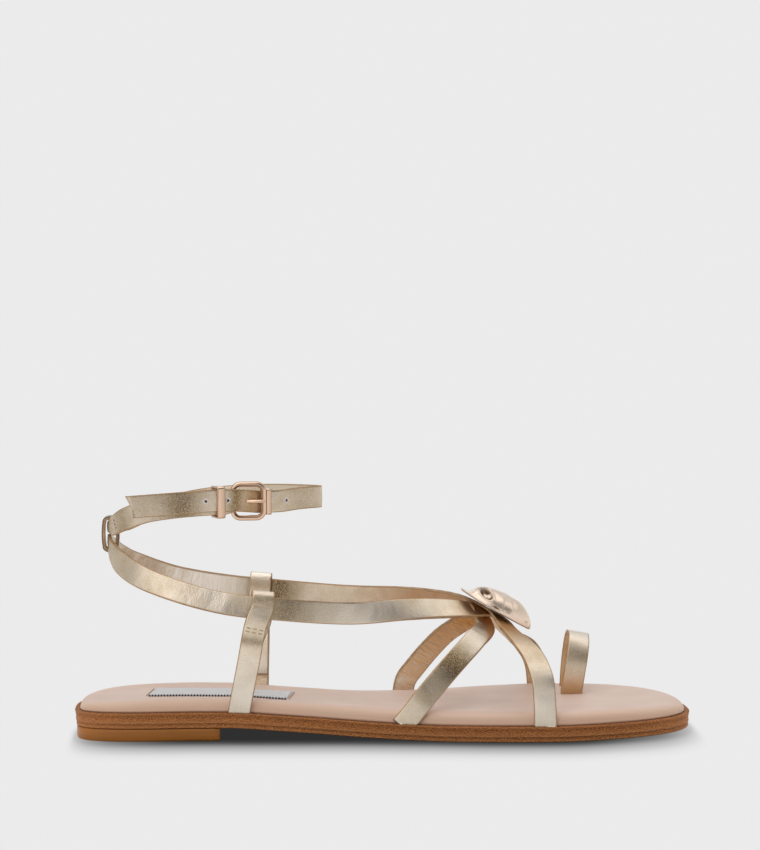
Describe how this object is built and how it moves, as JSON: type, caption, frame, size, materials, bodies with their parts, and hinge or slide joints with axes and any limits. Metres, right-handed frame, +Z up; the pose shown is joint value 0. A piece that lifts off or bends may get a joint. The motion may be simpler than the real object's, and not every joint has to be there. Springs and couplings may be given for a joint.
{
  "type": "strappy flat sandal",
  "caption": "Flat strappy sandal with a padded footbed, a crossed instep strap with a metal ornament, a toe loop and a buckled ankle strap. Right foot.",
  "frame": {"origin": "middle of the sole's length and width, on the floor", "axes": "+X points to the toe, +Y to the inner side of the foot and +Z up"},
  "size_m": [0.2518, 0.0886, 0.1042],
  "materials": {
    "sole_leather": "matt brown moulded edge with a fine leather grain",
    "heel_stack": "smooth satin orange brown",
    "footbed_leather": "smooth nude leather over padding",
    "label_weave": "pale woven label without text",
    "strap_leather": "fine grained champagne gold metallic leather with tan cut edges",
    "buckle_metal": "polished rose gold",
    "ornament_metal": "polished pale gold, softly hammered"
  },
  "bodies": {
    "root": {"outsole": "sole_leather", "heel_block": "heel_stack", "footbed": "footbed_leather", "sock_label": "label_weave", "upper_straps": "strap_leather", "side_loop_lateral": "strap_leather", "side_loop_medial": "strap_leather", "toe_loop": "strap_leather", "heel_tab": "strap_leather", "ankle_strap": "strap_leather", "buckle_frame": "buckle_metal", "buckle_prong": "buckle_metal", "strap_keeper": "buckle_metal", "strap_guide": "buckle_metal", "ornament": "ornament_metal"}
  },
  "joints": []
}
